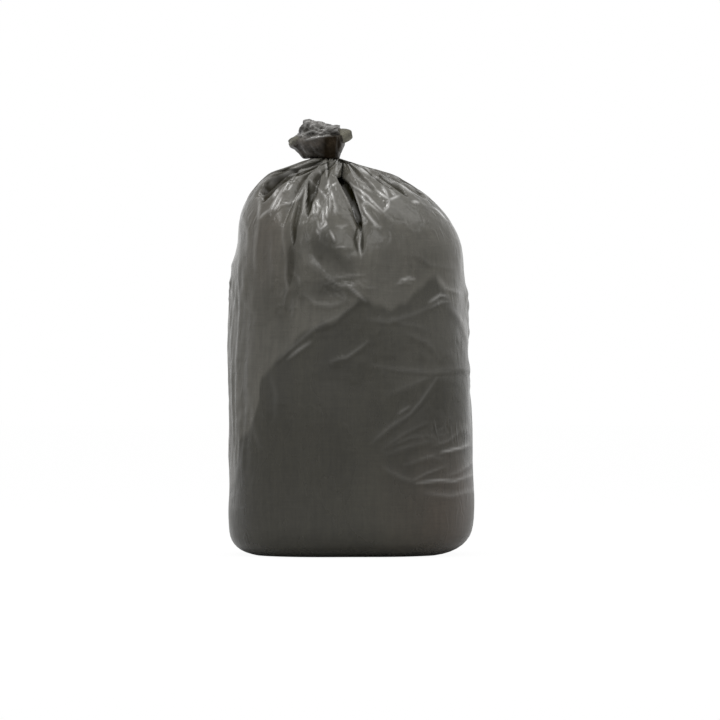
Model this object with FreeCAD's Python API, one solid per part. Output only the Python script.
import FreeCAD
import Part
import math
import os

# A filled refuse sack, tied with its own neck and standing on its base.
# Lengths are millimetres and angles are degrees. +Z is up and the front faces -Y.
# An azimuth is 0 at the front, 90 at the right (+X), 180 at the back and 270 at the left.

# Driving dimensions
SIZES = {
    "body_width": 452.0,
    "body_depth": 396.0,
    "belly_height": 105.0,
    "waist_width": 430.0,
    "waist_depth": 374.0,
    "foot_round": 58.0,
    "shoulder_height": 545.0,
    "lean": 6.0,
    "neck_height": 737.0,
    "neck_width": 38.0,
    "neck_offset": -39.0,
    "knot_width": 108.0,
    "knot_depth": 92.0,
    "knot_offset": -56.0,
    "knot_height": 74.0,
    "knot_tilt": 10.0,
    "crown_offset": -68.0,
    "mouth_dimple": 9.0,
    "gather_depth": 44.0,
    "fold_depth": 10.0,
    "crumple_depth": 4.0,
    "bulge_reach": 9.0,
}

# Shape factors: how square the plan is, how fast the shoulder rises, and how fast it draws in on each side
PLAN_POWER = 2.6
RISE_POWER = 0.91
LEFT_POWER = 0.88
RIGHT_POWER = 1.46
FRONT_POWER = 1.70
BACK_POWER = 1.40

# Just below the tie the film draws in by this much more, from this far up the shoulder and over this span
NECK_PINCH = 0.25
PINCH_CLIMB = 0.62
PINCH_SPAN = 0.18

# The gathers: azimuth, share of the greatest depth, reach down the shoulder (0 to 1),
# share of the knot's folds
GATHERS = (
    (8.0, 1.00, 0.98, 0.9),
    (28.0, 0.40, 0.62, 0.4),
    (45.0, 0.50, 0.56, 0.8),
    (64.0, 0.72, 0.64, 0.5),
    (81.0, 0.60, 0.72, 1.0),
    (100.0, 0.64, 0.82, 0.4),
    (122.0, 0.55, 0.62, 0.9),
    (143.0, 0.77, 0.90, 0.6),
    (163.0, 0.45, 0.60, 1.0),
    (184.0, 0.82, 0.94, 0.5),
    (206.0, 0.50, 0.64, 0.9),
    (227.0, 0.77, 0.84, 0.4),
    (248.0, 0.45, 0.60, 0.8),
    (268.0, 0.60, 0.66, 0.5),
    (282.0, 0.50, 0.58, 1.0),
    (296.0, 0.85, 0.62, 0.5),
    (325.0, 0.62, 0.98, 0.8),
    (338.0, 0.75, 0.72, 0.4),
)
PANELS = len(GATHERS)

# A gather is deepest this far up the shoulder, and its flanks rise by this power of the way to it
DEEPEST_CLIMB = 0.52
FLANK_POWER = 2.0

# The film turns round the neck by this angle as it is drawn in, from this far up the shoulder
NECK_TURN = 56.0
TURN_CLIMB = 0.6

# Contents that press the film outward: azimuth, how far up the wall (0 to 1), share of the greatest push,
# half-width in degrees and half-height as a share of the wall
BULGES = (
    (335.0, 0.33, 0.8, 34.0, 0.27),
    (40.0, 0.67, 0.9, 30.0, 0.21),
    (110.0, 0.24, 0.8, 36.0, 0.25),
    (165.0, 0.72, 1.0, 32.0, 0.23),
    (215.0, 0.22, 0.9, 34.0, 0.23),
    (278.0, 0.63, 0.6, 30.0, 0.27),
)

# Rings of the rounded foot: inset and lift as shares of its rounding
FOOT_RINGS = ((1.24, 0.0), (0.80, 0.04), (0.46, 0.16), (0.20, 0.38), (0.06, 0.66), (0.0, 1.0))

# Rings of the walls: share of the way from the belly to the waist
WALL_RINGS = (0.0, 0.16, 0.32, 0.48, 0.64, 0.80, 0.92)

# Rings of the shoulders and of the neck: how far up they are, where 1 is the tie
SHOULDER_RINGS = (0.02, 0.09, 0.16, 0.22, 0.28, 0.34, 0.40, 0.46, 0.52, 0.60, 0.68, 0.76)
NECK_RINGS = (0.84, 0.92, 1.0)

# Rings of the knot: share of its overhang, of its height, of its twist and of its crumple depth
KNOT_RINGS = (
    (0.22, 0.06, 0.05, 0.0),
    (0.58, 0.17, 0.12, 0.2),
    (0.86, 0.29, 0.22, 0.5),
    (1.00, 0.43, 0.34, 0.8),
    (0.99, 0.54, 0.46, 0.5),
    (0.84, 0.63, 0.56, 0.9),
    (0.86, 0.73, 0.66, 0.8),
    (0.78, 0.85, 0.78, 1.0),
    (0.58, 0.95, 0.90, 0.8),
    (0.34, 1.00, 1.00, 0.5),
    (0.14, 0.97, 1.00, 0.0),
)

# The knot's loose corners: azimuth, extra reach as a share, half-width in degrees
KNOT_CORNERS = ((98.0, 0.15, 18.0), (274.0, 0.10, 20.0), (190.0, 0.12, 18.0), (30.0, 0.06, 16.0))

# How far the knot is twisted, and how many crumples run round it and up it
KNOT_TWIST = 46.0
CRUMPLES_ROUND = 7.0
CRUMPLES_UP = 2.4

# Facets in each panel of film between two gathers, below the neck and from the neck up
BODY_COLUMNS = 8
NECK_COLUMNS = 4


def write_sheet(doc):
    """The driving dimensions, each in a cell with its own alias."""
    sheet = doc.addObject("Spreadsheet::Sheet", "Sizes")
    for row, (name, value) in enumerate(SIZES.items(), start=1):
        sheet.set("A%d" % row, name)
        sheet.set("B%d" % row, str(value))
        sheet.setAlias("B%d" % row, name)
    doc.recompute()
    return sheet


def ease(value):
    """A smooth step from 0 to 1."""
    value = max(0.0, min(1.0, value))
    return value * value * (3.0 - 2.0 * value)


def between(a, b, share):
    """The value a share of the way from a to b."""
    return a + (b - a) * share


def apart(a, b):
    """The signed angle from b to a."""
    return (a - b + 180.0) % 360.0 - 180.0


def plan_radius(azimuth, width, depth, power):
    """The radius of a superellipse at an azimuth."""
    across = abs(math.sin(math.radians(azimuth))) / (width / 2)
    deep = abs(math.cos(math.radians(azimuth))) / (depth / 2)
    return (across**power + deep**power) ** (-1.0 / power)


def place(azimuth, radius, centre, height):
    """A point at a radius and an azimuth round a centre on the X axis."""
    angle = math.radians(azimuth)
    return FreeCAD.Vector(centre + radius * math.sin(angle), -radius * math.cos(angle), height)


def azimuth_after(panel, share):
    """The azimuth a share of the way from one gather to the next."""
    start = GATHERS[panel][0]
    end = GATHERS[(panel + 1) % PANELS][0]
    return start + share * ((end - start) % 360.0)


def foot_point(size, ring, panel, share):
    """A corner of the flat base or of the rounded edge round it."""
    inset, lift = ring
    azimuth = azimuth_after(panel, share)
    edge = plan_radius(azimuth, size["body_width"], size["body_depth"], PLAN_POWER)
    return place(azimuth, edge - inset * size["foot_round"], 0.0, lift * size["foot_round"])


def bulge(azimuth, rise):
    """How far the contents push the film out, as a share of the greatest push."""
    push = 0.0
    for centre, level, share, half_width, half_height in BULGES:
        sideways = apart(azimuth, centre) / half_width
        upward = (rise - level) / half_height
        push += share * math.exp(-(sideways**2) - upward**2)
    return push * math.sin(math.pi * rise)


def wall_point(size, ring, panel, share):
    """A corner of the sides, from the belly at 0 up to the waist at 1."""
    azimuth = azimuth_after(panel, share)
    width = between(size["body_width"], size["waist_width"], ring)
    depth = between(size["body_depth"], size["waist_depth"], ring)
    height = between(size["belly_height"], size["shoulder_height"], ring)
    edge = plan_radius(azimuth, width, depth, PLAN_POWER)
    push = size["bulge_reach"] * bulge(azimuth, ring)
    return place(azimuth, edge + push, -size["lean"] * ring, height)


def shoulder_power(azimuth):
    """How fast the shoulder draws in at an azimuth, from the values of the four sides."""
    side = math.sin(math.radians(azimuth))
    edge = RIGHT_POWER if side > 0 else LEFT_POWER
    deep = FRONT_POWER if math.cos(math.radians(azimuth)) > 0 else BACK_POWER
    return between(deep, edge, side**2)


def gather_depth(size, climb, panel):
    """How deep a gather is: it grows from its lower end, then shrinks with the shoulder's radius."""
    share, reach = GATHERS[panel % PANELS][1:3]
    deepest = share * size["gather_depth"]
    start = 1.0 - reach
    if climb <= DEEPEST_CLIMB:
        return deepest * ease((climb - start) / (DEEPEST_CLIMB - start))
    neck = size["neck_width"] / size["waist_width"]
    widest = between(neck, 1.0, math.cos(math.radians(90.0 * DEEPEST_CLIMB)))
    here = between(neck, 1.0, math.cos(math.radians(90.0 * climb)))
    return deepest * here / widest


def gather_pull(size, climb, panel, share):
    """How far the film is pulled in between two gathers: most at each, and nothing midway."""
    near = max(0.0, 1.0 - 2.0 * share) ** FLANK_POWER
    far = max(0.0, 2.0 * share - 1.0) ** FLANK_POWER
    return gather_depth(size, climb, panel) * near + gather_depth(size, climb, panel + 1) * far


def shoulder_point(size, ring, panel, share):
    """A corner of the shoulders, from the waist at 0 to the tie at 1, pulled in along the normal."""
    azimuth = azimuth_after(panel, share)
    pull = gather_pull(size, ring, panel, share)
    turn = math.radians(90.0 * ring)
    pinch = 1.0 - NECK_PINCH * ease((ring - PINCH_CLIMB) / PINCH_SPAN)
    out = pinch * math.cos(turn) ** shoulder_power(azimuth)
    up = math.sin(turn) ** RISE_POWER
    waist = plan_radius(azimuth, size["waist_width"], size["waist_depth"], PLAN_POWER)
    radius = between(size["neck_width"] / 2, waist, out) - pull * out
    centre = between(size["neck_offset"], -size["lean"], out)
    rise = size["neck_height"] - size["shoulder_height"]
    turned = NECK_TURN * ease((ring - TURN_CLIMB) / (1.0 - TURN_CLIMB))
    return place(azimuth + turned, radius, centre, size["shoulder_height"] + rise * up - pull * up)


def knot_point(size, ring, panel, share):
    """A corner of the crumpled knot: out from the neck, up, twisted round, and folded in at each gather."""
    out, up, turned, crumple = ring
    azimuth = azimuth_after(panel, share) + NECK_TURN + KNOT_TWIST * turned
    edge = plan_radius(azimuth, size["knot_width"], size["knot_depth"], 2.0)
    for corner, reach, half_width in KNOT_CORNERS:
        edge *= 1.0 + reach * math.exp(-((apart(azimuth, corner) / half_width) ** 2))
    phase = math.radians(azimuth * CRUMPLES_ROUND) + math.tau * up * CRUMPLES_UP
    ripple = size["crumple_depth"] * crumple * math.sin(phase)
    fold = size["fold_depth"] * GATHERS[panel][3] if share == 0.0 else 0.0
    radius = between(size["neck_width"] / 2, edge, out) - fold * out + ripple
    middle = between(size["neck_offset"], size["knot_offset"], min(1.0, 2.0 * up))
    centre = between(middle, size["crown_offset"], ease(2.0 * up - 1.0))
    tilt = size["knot_tilt"] * math.sin(math.radians(azimuth)) * math.sin(math.pi * up)
    height = min(size["knot_height"], size["knot_height"] * up + tilt + ripple / 2)
    return place(azimuth, radius, centre, size["neck_height"] + height)


def rings_of(size, point, rings, columns):
    """The corners of some rings of film, with the same number of columns in each panel."""
    return [
        [point(size, ring, panel, step / columns) for panel in range(PANELS) for step in range(columns)]
        for ring in rings
    ]


def facet_pair(a, b, c, d):
    """Two facets that fill four corners, folded along the shorter diagonal."""
    if a.distanceToPoint(c) < b.distanceToPoint(d):
        return [(a, b, c), (a, c, d)]
    return [(a, b, d), (b, c, d)]


def strip(low, high):
    """The facets between two rings. The upper ring may have half as many columns."""
    facets = []
    count = len(high)
    wide = len(low) // count
    for i in range(count):
        left, right = high[i], high[(i + 1) % count]
        below = [low[(i * wide + step) % len(low)] for step in range(wide + 1)]
        if wide == 1:
            facets += facet_pair(below[0], below[1], right, left)
        else:
            facets += [(below[0], below[1], left), (below[1], right, left), (below[1], below[2], right)]
    return facets


class Film:
    """Flat facets of film that share their corners and creases."""

    def __init__(self):
        self.corners = {}
        self.creases = {}
        self.faces = []

    def corner(self, point):
        """The key of a corner, made the first time it is met."""
        key = (point.x, point.y, point.z)
        if key not in self.corners:
            self.corners[key] = Part.Vertex(point)
        return key

    def crease(self, start, end):
        """The straight edge between two corners, shared by the facets on both sides."""
        key = (min(start, end), max(start, end))
        if key not in self.creases:
            self.creases[key] = Part.Edge(self.corners[key[0]], self.corners[key[1]])
        return self.creases[key]

    def add(self, points):
        """A flat facet whose corners run anticlockwise seen from outside."""
        keys = [self.corner(point) for point in points]
        outline = [self.crease(start, end) for start, end in zip(keys, keys[1:] + keys[:1])]
        face = Part.Face(Part.Wire(outline))
        outward = FreeCAD.Vector()
        for start, end in zip(points, points[1:]):
            outward += (start - points[0]).cross(end - points[0])
        if face.normalAt(0.0, 0.0).dot(outward) < 0:
            face.reverse()
        self.faces.append(face)


def closed_bag(size):
    """The base, the sheet and the knot, folded up into one solid."""
    rings = rings_of(size, foot_point, FOOT_RINGS, BODY_COLUMNS)
    rings += rings_of(size, wall_point, WALL_RINGS, BODY_COLUMNS)
    rings += rings_of(size, shoulder_point, SHOULDER_RINGS, BODY_COLUMNS)
    rings += rings_of(size, shoulder_point, NECK_RINGS, NECK_COLUMNS)
    rings += rings_of(size, knot_point, KNOT_RINGS, NECK_COLUMNS)
    film = Film()
    film.add(rings[0][::-1])
    for low, high in zip(rings, rings[1:]):
        for corners in strip(low, high):
            film.add(corners)
    rim = rings[-1]
    mouth_height = size["neck_height"] + size["knot_height"] - size["mouth_dimple"]
    mouth = FreeCAD.Vector(size["crown_offset"], 0.0, mouth_height)
    for i in range(len(rim)):
        film.add((rim[i], rim[(i + 1) % len(rim)], mouth))
    return Part.Solid(Part.Shell(film.faces))


def main():
    doc = FreeCAD.newDocument("tied_bag")
    sheet = write_sheet(doc)
    size = {name: float(getattr(sheet, name)) for name in SIZES}
    bag = doc.addObject("Part::Feature", "Bag")
    bag.Label = "tied_bin_bag"
    bag.Shape = closed_bag(size)
    bag.Placement = FreeCAD.Placement()
    doc.recompute()
    for item in doc.Objects:
        if "Invalid" in item.State or "Error" in item.State:
            raise RuntimeError("%s failed to build" % item.Label)
    if bag.Shape.isNull() or not bag.Shape.isValid():
        raise RuntimeError("the bag's shape isn't valid")
    os.makedirs("parts", exist_ok=True)
    bag.Shape.exportStep("parts/%s.step" % bag.Label)
    box = bag.Shape.BoundBox
    print("box", [round(v, 2) for v in (box.XMin, box.XMax, box.YMin, box.YMax, box.ZMin, box.ZMax)])
    print("volume in litres", round(bag.Shape.Volume / 1e6, 2), "closed", bag.Shape.isClosed())


main()
